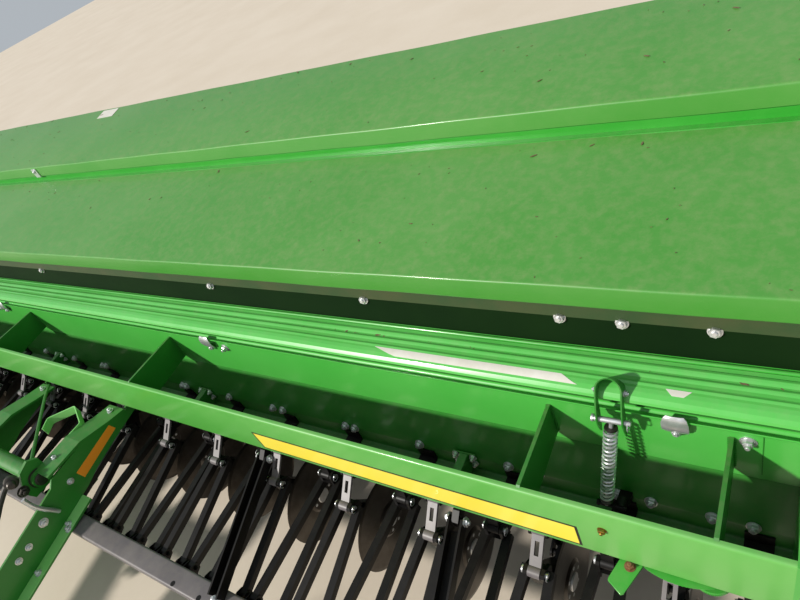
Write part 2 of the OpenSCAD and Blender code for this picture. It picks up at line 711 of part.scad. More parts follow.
// A bar with round ends in the section plane.
module bar2d(a, b, w) {
  d = b - a;
  translate(a) rotate(atan2(d[1], d[0])) {
    translate([0, -w / 2]) square([norm(d), w]);
    circle(r = w / 2, $fn = 32);
    translate([norm(d), 0]) circle(r = w / 2, $fn = 32);
  }
}
module front_boots() color(black) placed()
  boots_at(FRONT_X, [[-66, 450], [-26, 450], [-20, 430], [40, 330], [60, 290], [-10, 290], [-60, 400]],
           front_disc_y, front_drop, [98, 330]);
module rear_boots() color(black) placed()
  boots_at(REAR_X, [[10, 418], [50, 418], [60, 392], [160, 378], [300, 350], [390, 345], [440, 320],
                    [360, 300], [270, 316], [150, 346], [30, 384]],
           rear_disc_y, rear_drop, [480, 392]);

module discs_at(rows, y, drop) {
  z = disc_z(y, drop);
  for (x = rows) translate([x + 30, y, z]) rotate([0, 90, 0])
    rotate_extrude($fn = 96) polygon([[15, 0], [disc_r - 12, 0], [disc_r, disc_t / 2],
      [disc_r - 12, disc_t], [62, disc_t], [52, disc_t + 6], [15, disc_t + 6]]);
}
module front_discs() color(zinc) placed() discs_at(FRONT_X, front_disc_y, front_drop);
module rear_discs() color(zinc) placed() discs_at(REAR_X, rear_disc_y, rear_drop);

module press_wheels_at(rows, y, drop) {
  w = press_at(y, drop);
  h = press_w / 2;
  bore = 9.05;
  for (x = rows) translate([x, w[0], w[1]]) rotate([0, 90, 0])
    rotate_extrude($fn = 64) polygon([[bore, -h], [26, -h], [26, -6], [press_r - 30, -6],
      [press_r - 30, -h + 4], [press_r - 6, -h], [press_r, -h + 8], [press_r, h - 8], [press_r - 6, h],
      [press_r - 30, h - 4], [press_r - 30, 6], [26, 6], [26, h], [bore, h]]);
}
module front_press_wheels() color(rubber) placed() press_wheels_at(FRONT_X, front_disc_y, front_drop);
module rear_press_wheels() color(rubber) placed() press_wheels_at(REAR_X, rear_disc_y, rear_drop);

// The lift cylinder lies along the line from its base pin to its rod eye.
module along_cylinder() {
  d = cyl_eye - cyl_base;
  translate([cyl_x, cyl_base[0], cyl_base[1]]) rotate([atan2(d[1], d[0]), 0, 0]) children();
}
module cylinder_barrel() color(green) placed() along_cylinder() {
  difference() {
    union() {
      rotate([-90, 0, 0]) translate([0, 0, 46]) cylinder(h = 544, r = 34, $fn = 64);
      pin_x(-17, 17, [0, 0], 26);
      translate([-17, 0, -20]) cube([34, 50, 40]);
    }
    pin_x(-20, 20, [0, 0], 12.55);
    rotate([-90, 0, 0]) translate([0, 0, 70]) cylinder(h = 600, r = 16.05, $fn = 64);
  }
}
module cylinder_rod() color(zinc) placed() along_cylinder() {
  len = norm(cyl_eye - cyl_base);
  difference() {
    union() {
      rotate([-90, 0, 0]) translate([0, 0, 330]) cylinder(h = len - 350, r = 16, $fn = 64);
      pin_x(-17, 17, [len, 0], 25);
    }
    pin_x(-30, 30, [len, 0], 13);
  }
}

front_channel();
gusset_bars();
back_plate();
small_seed_box();
grain_box();
end_frames();
rear_beam();
footboard();
feed_cups();
seed_tubes();
drawbar_tube();
braces();
tongue_plates();
pivot_bridge();
tongue_beam();
hitch();
jack_tube();
jack_leg();
hanger_brackets();
shaft_bearings();
latches();
spring_hooks();
lid_springs();
setting_disc();
drive_case();
tyre_left();
rim_left();
tyre_right();
rim_right();
lid_front();
lid_rear();
small_seed_lid();
spring_clevises();
rockshaft();
front_straps();
rear_straps();
front_arms();
front_boots();
front_discs();
front_press_wheels();
rear_arms();
rear_boots();
rear_discs();
rear_press_wheels();
cylinder_barrel();
cylinder_rod();
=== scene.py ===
import math
import random

import bmesh
import bpy
from mathutils import Matrix, Vector

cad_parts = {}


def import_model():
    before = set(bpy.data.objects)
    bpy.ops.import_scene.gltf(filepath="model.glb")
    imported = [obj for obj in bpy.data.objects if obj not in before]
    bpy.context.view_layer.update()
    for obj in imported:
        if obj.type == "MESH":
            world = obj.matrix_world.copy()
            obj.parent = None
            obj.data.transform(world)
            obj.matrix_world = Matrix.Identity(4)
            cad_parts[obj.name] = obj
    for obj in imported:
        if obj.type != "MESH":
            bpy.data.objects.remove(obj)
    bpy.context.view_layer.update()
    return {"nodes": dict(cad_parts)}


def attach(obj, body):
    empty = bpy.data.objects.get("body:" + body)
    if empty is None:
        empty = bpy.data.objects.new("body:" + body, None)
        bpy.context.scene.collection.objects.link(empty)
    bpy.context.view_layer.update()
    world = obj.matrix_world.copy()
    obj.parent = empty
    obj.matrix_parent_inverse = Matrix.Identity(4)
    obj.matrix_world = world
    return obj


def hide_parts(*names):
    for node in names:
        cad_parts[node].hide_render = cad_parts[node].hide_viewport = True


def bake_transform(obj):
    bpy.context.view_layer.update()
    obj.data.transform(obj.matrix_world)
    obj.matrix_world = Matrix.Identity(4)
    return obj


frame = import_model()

# Distance between two openers of a rank, and both ranks' places across the drill
PITCH = 304.8
FRONT_X = [n * PITCH for n in range(-8, 9)]
REAR_X = [(n + 0.5) * PITCH for n in range(-9, 9)]
# Half the boxes' width, the channel face's place in the frame, and the carrying wheels
BOX_HALF = 2656.8
FACE_Y = 410
AXLE = (740, 445)
WHEEL_X = 2816.8
ALONG = (1, 0, 0)
AHEAD = (0, -1, 0)
UP = (0, 0, 1)
# Lines along the drill, each as its distance behind the face and its height
ARM_PIVOT = (-382, 366)
TONGUE_PIVOT = (-378, 572)
LIFT_CLEVIS = (204, 800)
LID_HINGES = ((757, 1188), (1190, 1316), (335, 880))
# Half the distance between an opener's two arms
ARM_SPREAD = 54
# Places across the drill, some with the distance behind the face
LID_SPRING_X = 2297
DIAL_X = 8.25 * PITCH
DIAL_Y = 40
JACK = (190, -1650)
# Distances behind the face: the bright wall and the two rows of hoppers
WALL_Y = 243
HOPPER_Y = 565
REAR_HOPPER_Y = 979.5
LID_SLOPE = math.tan(math.radians(10))
# Litter lies the same way on every run
litter = random.Random(7)


# Shapes

def world(point):
    """A point in the drill's millimetres as a place in the frame's metres."""
    return Vector((point[0], point[1] + FACE_Y, point[2])) * 0.001


def rounded(path, radius, closed=False, steps=4):
    """A path's points with its corners rounded, each with the direction across it."""
    points = [Vector(p) for p in path]
    last = len(points) - 1
    made = []
    for i, corner in enumerate(points):
        if not closed and i in (0, last):
            step = points[1] - points[0] if i == 0 else points[last] - points[last - 1]
            step.normalize()
            made.append((corner, Vector((-step.y, step.x))))
            continue
        back, ahead = points[i - 1] - corner, points[(i + 1) % (last + 1)] - corner
        a, b = back.normalized(), ahead.normalized()
        across = Vector((a.y, -a.x))
        turn = math.atan2(-(a.x * b.y - a.y * b.x), -a.dot(b))
        if abs(turn) < 0.02:
            made.append((corner, across))
            continue
        half_tan = math.tan(abs(turn) / 2)
        reach = min(radius * half_tan, 0.45 * min(back.length, ahead.length))
        start = corner + a * reach
        centre = start + across * math.copysign(reach / half_tan, turn)
        for k in range(steps + 1):
            spin = Matrix.Rotation(turn * k / steps, 2)
            made.append((centre + spin @ (start - centre), spin @ across))
    return made


def outline(path, radius, steps=4):
    """A closed outline with rounded corners."""
    return [tuple(p) for p, _ in rounded(path, radius, True, steps)]


def sheet_section(path, thickness, radius, steps=4):
    """The closed section of sheet metal folded along a path."""
    line = rounded(path, radius, False, steps)
    half = thickness / 2
    return [tuple(p + n * half) for p, n in line] + [tuple(p - n * half) for p, n in reversed(line)]


def smooth_path(points, step):
    """A Catmull-Rom curve through the points, about one point per step."""
    p = [Vector(q) for q in points]
    p = [2 * p[0] - p[1]] + p + [2 * p[-1] - p[-2]]
    made = []
    for a, b, c, d in zip(p, p[1:], p[2:], p[3:]):
        count = max(1, round((c - b).length / step))
        for k in range(count):
            t = k / count
            made.append(0.5 * (2 * b + (c - a) * t + (2 * a - 5 * b + 4 * c - d) * t * t
                               + (3 * b - 3 * c + d - a) * t ** 3))
    return made + [p[-2]]


def side_pair(axis):
    """An axis and two directions square to it and to each other."""
    k = Vector(axis).normalized()
    u = k.orthogonal().normalized() if abs(k.x) < 0.99 else Vector((0, 0, 1))
    return k, u, k.cross(u)


class Piece:
    """Points and faces of one piece of the drill."""

    def __init__(self, name):
        self.name, self.points, self.faces, self.paint = name, [], [], []

    def skin(self, rows, loop=True, ring=False, caps=False, paint=0):
        """Faces between rows of points. loop closes each row, ring joins last to first."""
        start, wide, count = len(self.points), len(rows[0]), len(rows)
        for row in rows:
            self.points.extend(row)
        for i in range(count if ring else count - 1):
            for j in range(wide if loop else wide - 1):
                a, d = start + i * wide, start + (i + 1) % count * wide
                self.faces.append((a + j, a + (j + 1) % wide, d + (j + 1) % wide, d + j))
        if caps:
            self.faces.append(tuple(range(start + wide - 1, start - 1, -1)))
            self.faces.append(tuple(range(start + (count - 1) * wide, start + count * wide)))
        self.paint += [paint] * (len(self.faces) - len(self.paint))

    def slab(self, section, x0, x1, paint=0, parts=1, wave=0):
        """A section across the drill, stretched along it, with a slight ripple if asked."""
        rows = []
        for i in range(parts + 1):
            x = x0 + (x1 - x0) * i / parts
            lift = wave * (math.sin(x / 137) + math.sin(x / 71 + 2)) / 2 if 0 < i < parts else 0
            rows.append([(x, y + lift * 0.3, z + lift) for y, z in section])
        self.skin(rows, caps=True, paint=paint)

    def block(self, low, high, paint=0):
        """A box between two opposite corners."""
        self.slab([(low[1], low[2]), (high[1], low[2]), (high[1], high[2]), (low[1], high[2])],
                  low[0], high[0], paint)

    def push(self, ring, by, paint=0):
        """A flat ring of points made thick."""
        by = Vector(by)
        self.skin([ring, [tuple(Vector(p) + by) for p in ring]], caps=True, paint=paint)

    def turned(self, profile, at, axis, sides=16, paint=0, loop=True, bump=None):
        """A profile of (radius, height) turned about an axis."""
        k, u, v = side_pair(axis)
        at = Vector(at)
        rows = []
        for i in range(sides):
            a = 2 * math.pi * i / sides
            out = u * math.cos(a) + v * math.sin(a)
            rows.append([tuple(at + k * h + out * (r + (bump(i, h, r) if bump else 0)))
                         for r, h in profile])
        self.skin(rows, loop=loop, ring=True, paint=paint)

    def disc(self, radius, depth, at, axis, sides=24, paint=0, edge=1.0):
        """A round plate with one bevelled rim."""
        self.turned([(0, 0), (radius, 0), (radius, depth - edge), (radius - edge, depth), (0, depth)],
                    at, axis, sides, paint)

    def tube(self, path, radius, sides=8, paint=0, closed=False):
        """A round bar or hose along a path; radius is a number or a function of the point."""
        path = [Vector(p) for p in path]
        rows, side = [], None
        for i, p in enumerate(path):
            ahead = path[(i + 1) % len(path)] if closed else path[min(i + 1, len(path) - 1)]
            back = path[i - 1] if closed or i else path[0]
            along = (ahead - back).normalized()
            side = (side - along * side.dot(along) if side else along.orthogonal()).normalized()
            other = along.cross(side)
            r = radius(i) if callable(radius) else radius
            rows.append([tuple(p + (side * math.cos(t) + other * math.sin(t)) * r)
                         for t in (2 * math.pi * k / sides for k in range(sides))])
        self.skin(rows, ring=closed, caps=not closed, paint=paint)

    def bolt(self, at, axis, size=10, stud=6, washer=True, paint=0):
        """A washer, a hex head or nut with chamfered corners, and the stud's end."""
        w = 2 if washer else 0
        if washer:
            self.turned([(size * 0.5, 0), (size * 1.15, 0), (size * 1.15, 1.6), (size * 0.5, 2)],
                        at, axis, 16, paint)
        r, h = size * 0.93, size * 0.7
        self.turned([(0, w), (r, w), (r, w + h * 0.82), (r * 0.86, w + h), (0, w + h)], at, axis, 6, paint)
        if stud:
            self.turned([(0, w + h), (size * 0.48, w + h), (size * 0.48, w + h + stud - 1),
                         (size * 0.38, w + h + stud), (0, w + h + stud)], at, axis, 10, paint)

    def cotter_ring(self, at, radius=12, wire=1.4):
        """A split ring through a clevis pin's end."""
        x, y, z = at
        self.tube([(x, y + radius * math.cos(a), z - radius * 0.7 + radius * math.sin(a))
                   for a in (2 * math.pi * k / 14 for k in range(14))], wire, 5, closed=True)

    def place(self, body, slot, *paints, hides=(), edge=0.0):
        """Makes the Blender object, which rides on a body of the model."""
        mesh = bpy.data.meshes.new(self.name)
        mesh.from_pydata([world(p) for p in self.points], [], self.faces)
        mesh.polygons.foreach_set("material_index", self.paint)
        for paint in paints:
            mesh.materials.append(paint)
        work = bmesh.new()
        work.from_mesh(mesh)
        bmesh.ops.remove_doubles(work, verts=work.verts, dist=2e-5)
        bmesh.ops.recalc_face_normals(work, faces=work.faces)
        work.to_mesh(mesh)
        work.free()
        mesh.polygons.foreach_set("use_smooth", [True] * len(mesh.polygons))
        mesh.set_sharp_from_angle(angle=math.radians(32))
        made = bpy.data.objects.new(self.name, mesh)
        bpy.context.scene.collection.objects.link(made)
        if edge:
            round_edges(made, edge)
        if body:
            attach(made, body)
        if hides:
            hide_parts(*hides)
        return made


def round_edges(made, width):
    """Rounds the sharp edges, as sheared plate and rolled bars have them."""
    bevel = made.modifiers.new("rounded edges", "BEVEL")
    bevel.width = width * 0.001
    bevel.segments = 2
    bevel.limit_method = "ANGLE"
    bevel.angle_limit = math.radians(38)
    bevel.use_clamp_overlap = True


# Materials

def linear(colour):
    """An sRGB hex colour as the linear values that a shader takes."""
    parts = [int(colour[i:i + 2], 16) / 255 for i in (1, 3, 5)]
    return [c / 12.92 if c <= 0.04045 else ((c + 0.055) / 1.055) ** 2.4 for c in parts] + [1.0]


def add(tree, kind, inputs, out=0, **settings):
    """One node with its settings and inputs; gives the output that the next node takes."""
    made = tree.nodes.new("ShaderNode" + kind)
    for key, value in settings.items():
        setattr(made, key, value)
    for key, value in inputs.items():
        if isinstance(value, bpy.types.NodeSocket):
            tree.links.new(value, made.inputs[key])
        else:
            made.inputs[key].default_value = value
    return made.outputs[out]


def mixed(tree, amount, a, b):
    """Colour a turning to colour b as the amount grows."""
    return add(tree, "Mix", {0: amount, 6: a, 7: b}, 2, data_type="RGBA")


def spread(tree, value, low, high, a=0.0, b=1.0):
    """A value between low and high, brought to lie between a and b."""
    return add(tree, "MapRange", {"Value": value, "From Min": low, "From Max": high,
                                  "To Min": a, "To Max": b})


def blotches(tree, where, size, detail=4.0, rough=0.6):
    """Noise whose blotches are about size millimetres across."""
    return add(tree, "TexNoise", {"Vector": where, "Scale": 1000 / size, "Detail": detail,
                                  "Roughness": rough})


def finish(name, colour, worn, gloss, metal=0.0, coat=0.0, patch=300, wear=0.3, grain=3.0, depth=0.1,
           dirt="#a59a80", dusty=0.3, scratches=0.0, sheen=0.5):
    """A finish with slow colour drift, dust on upward faces, scratches and a fine surface grain."""
    made = bpy.data.materials.new(name)
    made.use_nodes = True
    tree = made.node_tree
    shader = tree.nodes["Principled BSDF"]
    where = add(tree, "TexCoord", {}, "Object")
    drift = spread(tree, blotches(tree, where, patch, 5), 0.35, 0.7, 0.0, wear)
    base = mixed(tree, drift, linear(colour), linear(worn))
    if scratches:
        combed = add(tree, "Mapping", {"Vector": where, "Scale": (0.06, 1.0, 1.0)})
        lines = spread(tree, blotches(tree, combed, 4, 3, 0.8), 0.63, 0.7, 0.0, scratches)
        base = mixed(tree, lines, base, linear(worn))
    facing = add(tree, "SeparateXYZ", {0: add(tree, "NewGeometry", {}, "Normal")}, "Z")
    settled = spread(tree, facing, 0.1, 0.95, 0.12, 1.0)
    specks = spread(tree, blotches(tree, where, 28, 8, 0.72), 0.42, 0.72, 0.15, 1.0)
    dust = add(tree, "Math", {0: settled, 1: specks}, operation="MULTIPLY")
    dust = add(tree, "Math", {0: dust, 1: dusty}, operation="MULTIPLY")
    tree.links.new(mixed(tree, dust, base, linear(dirt)), shader.inputs["Base Color"])
    tree.links.new(spread(tree, dust, 0.0, 0.5, gloss, min(0.9, gloss + 0.35)), shader.inputs["Roughness"])
    bump = add(tree, "Bump", {"Height": blotches(tree, where, grain, 3), "Strength": depth,
                              "Distance": 0.0006})
    tree.links.new(bump, shader.inputs["Normal"])
    shader.inputs["Metallic"].default_value = metal
    shader.inputs["Specular IOR Level"].default_value = sheen
    shader.inputs["Coat Weight"].default_value = coat
    shader.inputs["Coat Roughness"].default_value = 0.12
    return made


# Gloss green farm paint, slightly chalked, with dust where it faces up.
green = finish("green enamel on sheet steel", "#2f9a2c", "#4fae45", 0.34, coat=0.35, wear=0.5,
               dusty=0.16, scratches=0.25)
# Painted light: lighter copies of the green for the bright wall and the ribbed lid, standing in for the
# light that falls on them; both stay clean.
lit_wall_green = finish("green enamel lightened as painted light on the trough wall", "#46b141", "#5abc52", 0.34,
                      coat=0.35, wear=0.5, dusty=0.12, scratches=0.25)
# Painted highlight: the lightest copy of the green, for the ribs
lit_rib_green = finish("green enamel lightened as painted highlight on the ribs", "#4bb046", "#62c15d", 0.3,
                    coat=0.4, wear=0.5, dusty=0.12, scratches=0.2)
# The same paint on the walked-on lids: paler, dustier and rubbed, the paleness partly painted reflection
# of the bright surround.
lid_green_and_sky_sheen = finish("sun-bleached green enamel with painted sky sheen", "#3c8a2c", "#5c9648", 0.4, coat=0.2, patch=520, wear=0.55,
                   dusty=0.22, scratches=0.3, dirt="#a89d7c")
# Painted light: a paler copy of the green for the channel's face, standing in for the haze of light on it.
channel_painted_light_green = finish("green enamel paled as painted light", "#4aa03a", "#74b45e", 0.4, coat=0.2, patch=700, wear=0.6,
                       dusty=0.15, scratches=0.3)
# Painted shade: a near-black green sheet on the box's front wall, standing in for the shade there.
front_wall_shade = finish("painted shade on the box's front wall", "#0b200a", "#12290d", 0.6, patch=260,
                   wear=0.6, dusty=0.0, sheen=0.08)
# Painted shade: a dim green band just under the lid's lip, where the shade lies.
lip_band_shade = finish("painted shade band under the lip", "#2a4420", "#45482a", 0.65, patch=160, wear=0.8,
                   dusty=0.03)
# Painted shade: a darker copy of the green for parts in the shelter of the boxes, with soil-coloured dust
# on faces that look up.
shaded_green = finish("green enamel darkened as painted shade", "#217a20", "#2f7a2b", 0.42, coat=0.2, wear=0.5,
                    dusty=0.3, dirt="#8d8266")
# Black chassis paint, rubbed to bare steel in streaks and caked with fine soil.
black = finish("black chassis enamel", "#080707", "#1b1817", 0.45, coat=0.0, patch=60, wear=0.35,
               dusty=0.035, dirt="#6c6254", scratches=0.25, sheen=0.25)
# Grey primer-like paint on bars, flat, with soil.
grey = finish("grey enamel on bar steel", "#5d585b", "#7c7674", 0.42, patch=90, wear=0.5, dusty=0.12,
              scratches=0.4)
# Zinc plating: bright with dull white patches.
zinc = finish("zinc plated steel", "#e2e4e6", "#b9b8b2", 0.3, metal=0.75, patch=25, wear=0.6,
              dusty=0.08)
# Worn yellow-zinc fastener.
brass_zinc = finish("yellow zinc fastener", "#b08a3c", "#7d6a41", 0.38, metal=1.0, patch=9, wear=0.7)
# Steel darkened by oil and soil.
dark_steel = finish("oily dark steel", "#3a3836", "#544d45", 0.42, metal=0.7, patch=12, wear=0.6,
                    dusty=0.1)
# Painted light: a much lighter copy of the green for the tongue plate's flange, standing in for the light
# on it; it is hardly soiled.
flange_painted_light_green = finish("green enamel lightened as painted light on the flange", "#7bcb68", "#98d886", 0.36, coat=0.3, patch=160,
                      wear=0.5, dusty=0.12, scratches=0.3)
# Rusted bolt head.
rusty = finish("rusted steel", "#6b3d22", "#91602f", 0.8, metal=0.2, patch=7, wear=0.8, depth=0.5)
# Soil-polished steel of the discs, darkened as painted shade under the frame.
disc_steel_and_shade = finish("soil-polished disc steel darkened as painted shade", "#56524e", "#2c251e", 0.3, metal=0.9, patch=70, wear=0.6,
                    dusty=0.06, scratches=0.5)
# Mirror-bright plating of the lift cylinder's rod.
chrome = finish("chromed cylinder rod", "#d8dadc", "#c2c4c6", 0.08, metal=1.0, wear=0.2, dusty=0.05,
                depth=0.0)
# Rough dark casting of the feed cups.
cast = finish("bare cast iron", "#4b4845", "#5f554b", 0.6, metal=0.6, patch=30, wear=0.6, grain=2.0,
              depth=0.5)
# Tyre rubber with dust in the tread.
tyre_rubber = finish("weathered tyre rubber", "#1f1f1f", "#34322f", 0.75, patch=120, wear=0.6,
                     dusty=0.4, grain=1.5, depth=0.35, dirt="#8a8069")
# Softer black rubber of the hoses, with a dull shine.
hose_rubber = finish("seed hose rubber", "#191818", "#302e2c", 0.55, patch=60, wear=0.5, dusty=0.3,
                     grain=2.0)
# Smooth film of the channel's stripe, the strongest colour beside the green.
stripe_yellow = finish("yellow stripe film", "#f2e04a", "#e6cf4c", 0.35, coat=0.3, wear=0.4, dusty=0.12)
# Thin dark edge that sets the stripe off.
key_line = finish("black key line film", "#1b1a18", "#2c2a27", 0.4, wear=0.3, dusty=0.15)
# Blank labels, a little yellowed and scuffed.
white_film = finish("white label film", "#dbd9d0", "#c3beb0", 0.5, coat=0.1, patch=90, wear=0.5,
                    dusty=0.2)
# The tongue's label, a warm spot on the dark plate.
orange_film = finish("blank orange label film", "#ff9a1c", "#f09030", 0.42, wear=0.4, dusty=0.1)
# Soil and oil packed between the lid hinge's knuckles.
hinge_soil = finish("soil in the hinge line", "#57452f", "#7a6a4a", 0.85, patch=14, wear=0.8, grain=1.5,
                    depth=0.5)
# Brown specks of leaves and husks.
leaf_brown = finish("dry leaf and chaff", "#4a3a22", "#7d6a44", 0.85, patch=4, wear=1.0, grain=1.0,
                    depth=0.4)

# The finish of each solid that the scene shows as it is
# Solids in the darker green carry painted shade
NODE_FINISH = {
    "gusset_bars": shaded_green, "grain_box": green, "end_frames": green, "rear_beam": black,
    "footboard": shaded_green, "feed_cups": cast, "braces": black, "tongue_plates": shaded_green,
    "pivot_bridge": shaded_green,
    "tongue_beam": green, "hitch": shaded_green, "jack_tube": green, "jack_leg": zinc,
    "hanger_brackets": black, "shaft_bearings": shaded_green, "spring_hooks": black,
    "drive_case": green, "rim_left": green, "rim_right": green, "rockshaft": black,
    "front_straps": grey, "rear_straps": black, "front_arms": black, "front_boots": black,
    "front_discs": disc_steel_and_shade, "rear_arms": black, "rear_boots": black, "rear_discs": disc_steel_and_shade,
    "cylinder_barrel": shaded_green, "cylinder_rod": chrome,
}
# Width in millimetres of the rounding on each solid's sharp edges
EDGES = {"gusset_bars": 1.5, "end_frames": 2, "braces": 1.5, "tongue_plates": 1.5,
         "pivot_bridge": 1.5, "tongue_beam": 5, "hitch": 2, "shaft_bearings": 1,
         "rockshaft": 1.2, "front_straps": 1, "rear_straps": 1, "front_arms": 2,
         "rear_arms": 2, "front_boots": 1.5, "rear_boots": 1.5, "feed_cups": 1.5,
         "hanger_brackets": 1, "drive_case": 3, "rear_beam": 3}
for name, paint in NODE_FINISH.items():
    solid = frame["nodes"][name]
    for held in solid.material_slots:
        held.material = paint
    if name in EDGES:
        round_edges(solid, EDGES[name])


# Sheet metal of the box

channel = Piece("front_channel_sheet")
channel.slab(sheet_section([(54, 557), (3, 557), (3, 757), (13, 757)], 6, 9, 5), -BOX_HALF, BOX_HALF,
             parts=40, wave=0.05)
channel.place("frame", "green_paint", channel_painted_light_green, hides=("front_channel",))

# The back plate in the darker green, painted shade below the channel
plate = Piece("back_plate_sheet")
plate.slab(sheet_section([(166, 404.5), (204.5, 404.5), (204.5, 470), (246, 619)], 5, 8), -BOX_HALF,
           BOX_HALF, parts=40, wave=0.3)
plate.place("frame", "dark_green_paint", shaded_green, hides=("back_plate",))

# The bright wall's top edge is rolled into a bead
bead = [(WALL_Y + 4 + 12 * math.cos(math.radians(a)), 798 + 12 * math.sin(math.radians(a)))
        for a in range(90, -181, -15)]
trough = [(243.8, 786), (243.8, 620), (250, 619), (263, 561), (323, 561), (341, 619), (341, 669)]
seed_box = Piece("small_seed_box_sheet")
seed_box.slab(sheet_section(bead + trough, 2.2, 4, 3), -BOX_HALF, BOX_HALF, parts=60, wave=0.5)
for side in (-1, 1):
    seed_box.slab([(244, 790), (244, 620), (262, 561), (324, 561), (342, 620), (342, 790)],
                  side * BOX_HALF, side * (BOX_HALF - 3))
seed_box.place("frame", "green_paint", lit_wall_green, hides=("small_seed_box",))


def lid(name, path, end_outline, body, paint, hides, wave, radius=5, overhang=10):
    """A folded lid with rolled corners and a lip welded in each end."""
    made = Piece(name)
    reach = BOX_HALF + overhang
    made.slab(sheet_section(path, 3, radius, 5), -reach, reach, parts=90, wave=wave)
    for side in (-1, 1):
        made.slab(end_outline, side * reach, side * (reach - 3))
    return made.place(body, "green_paint", paint, hides=hides)


lid("front_lid_sheet", [(323, 1054.5), (304.5, 1054.5), (304.5, 1113.5), (751.4, 1192.3)],
    [(305, 1056), (312, 1056), (340, 1088), (751, 1162), (751, 1192), (305, 1113)],
    "front_lid", lid_green_and_sky_sheen, ("lid_front",), 0.9)
lid("rear_lid_sheet", [(776.5, 1218), (776.5, 1267.5), (1183.2, 1339.2), (1183.2, 1312.5)],
    [(777, 1219), (800, 1238), (1150, 1300), (1183, 1313), (1183, 1339), (777, 1267)],
    "rear_lid", lid_green_and_sky_sheen, ("lid_rear",), 0.9)

# Section of the small-seed lid: a rounded nose, then three rolled ribs
NOSE = [(226.3, 849), (228.5, 855), (235, 862.5), (245, 867.5), (254, 870.2), (260, 871)]
RIBS = [(263, 872.4), (266, 873.8), (269, 872.4), (273, 871.8), (281, 872.8), (285, 875), (289, 876.6),
        (293, 875), (296, 873.4), (301, 873.6), (306, 876.8), (311, 879.2), (316, 878.4), (319, 876),
        (329.2, 877.4)]
lid("seed_lid_sheet", NOSE + RIBS,
    [(228, 850), (236, 861), (254, 868.5), (328, 874), (328, 876), (254, 870)],
    "seed_lid", lit_rib_green, ("small_seed_lid",), 0.3, 2.5, -6)

hinges = Piece("lid_hinge_knuckles")
knuckle = 60
for row, (y, z) in enumerate(LID_HINGES):
    for n in range(-44, 44):
        hinges.turned([(3.8, 1), (4.8, 1.6), (4.8, knuckle - 1.6), (3.8, knuckle - 1)],
                      (n * knuckle, y, z), ALONG, 10, paint=0 if row else 1)
hinges.place("frame", "green_paint", green, hinge_soil)

# Painted shade on the box's front wall: near-black below the row of bolts, a dim band above it
front_wall = Piece("box_front_wall_painted_shade")
bolt_row = 979
front_wall.block((-BOX_HALF, 342, 884), (BOX_HALF, 343, bolt_row))
front_wall.block((-BOX_HALF, 342, bolt_row), (BOX_HALF, 343, 1062), paint=1)
front_wall.place("frame", "dark_green_paint", front_wall_shade, lip_band_shade)

# The lap joint where two sheets of the bright wall meet
lap = Piece("bright_wall_lap_joint")
for x in (-2587, 2587):
    lap.block((x - 1, 241.6, 640), (x + 1, 242.8, 785))
lap.place("frame", "green_paint", shaded_green)

# Corner angles and rolled edges that stiffen the box ends
corners = Piece("box_end_angles")
for side in (-1, 1):
    x0, x1 = side * (BOX_HALF + 12), side * (BOX_HALF + 15)
    for (ya, za), (yb, zb) in (((352, 884), (352, 1090)), ((1160, 884), (1160, 1300)),
                               ((352, 884), (1160, 884))):
        wide = 12 if ya == yb else 0
        tall = 0 if wide else 12
        corners.slab([(ya - wide, za - tall), (yb + wide, za - tall), (yb + wide, zb + tall),
                      (ya - wide, zb + tall)], x0 - side * 13, x1)
corners.place("frame", "green_paint", green, edge=1.5)

# Weld beads along both ends of each gusset bar, thicker and thinner by turns
welds = Piece("gusset_weld_beads")
for x in (-2530, -2133, -583, 583, 2133, 2530):
    for e in (-5.5, 5.5):
        for y, heights, beat in ((7.5, range(636, 756, 3), 2.1), (241, range(656, 764, 3), 2.3)):
            welds.tube([(x + e, y, z) for z in heights], lambda i: 3 + 0.7 * math.sin(i * beat), 6)
welds.place("frame", "green_paint", shaded_green)


# Small-seed lid gear

# Each spring leans from a pin beside its hook to the clevis on the lid
coils = Piece("lid_lift_springs")
low, top = Vector((2264, 146, 512)), Vector((LID_SPRING_X, 204, 792))
turns, per_turn, coil_radius, seat = 18, 18, 14.4, 24
for side in (-1, 1):
    foot, head = Vector((side * low.x, low.y, low.z)), Vector((side * top.x, top.y, top.z))
    line = head - foot
    k = line.normalized()
    u = k.orthogonal().normalized()
    v = k.cross(u)
    wound = []
    for i in range(turns * per_turn + 1):
        part = i / (turns * per_turn)
        a = 2 * math.pi * i / per_turn
        wound.append(foot + k * (seat + part * (line.length - 2 * seat))
                     + (u * math.cos(a) + v * math.sin(a)) * coil_radius)
    coils.tube(wound, 3, 7)
    coils.tube([foot - k * 2, head], 5, 10)
    for end, way in ((foot, 1), (head, -1)):
        coils.turned([(5, 0), (15, 0), (15.5, 4), (9, 9), (5, 9)], end + k * 14 * way, k * way, 18,
                     paint=1)
springs = coils.place(None, "zinc_plate", zinc, dark_steel, hides=("lid_springs",))
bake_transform(springs)

foot_pins = Piece("spring_foot_pins")
for side in (-1, 1):
    foot_pins.turned([(0, -24), (8, -24), (8, -18), (6, -17), (6, 46), (0, 48)],
                     (side * low.x, low.y + 2, low.z - 4), (side, 0, 0), 16)
    foot_pins.turned([(0, 0), (12, 0), (12, 26), (0, 26)],
                     (side * LID_SPRING_X, low.y + 2, low.z - 4), (0, 1, 0.05), 14)
foot_pins.place("frame", "black_paint", black)

# A strap bent to an arch that slopes down to the lid behind it. Each row is its height, its
# front edge and its rear edge, from the pointed foot of a leg to where the arch begins.
ears = Piece("spring_clevis_brackets")
LEG_EDGES = [(752, 204, 208), (762, 200, 212), (784, 194, 217), (806, 191, 220), (830, 198, 222),
             (852, 206, 224), (872, 214, 240), (884, 220, 250)]
outside, inside = 30, 26


def sloped(y, z):
    """The height of a strap's point, lower behind the arch's front edge."""
    return z - 1.2 * max(0, y - 234)


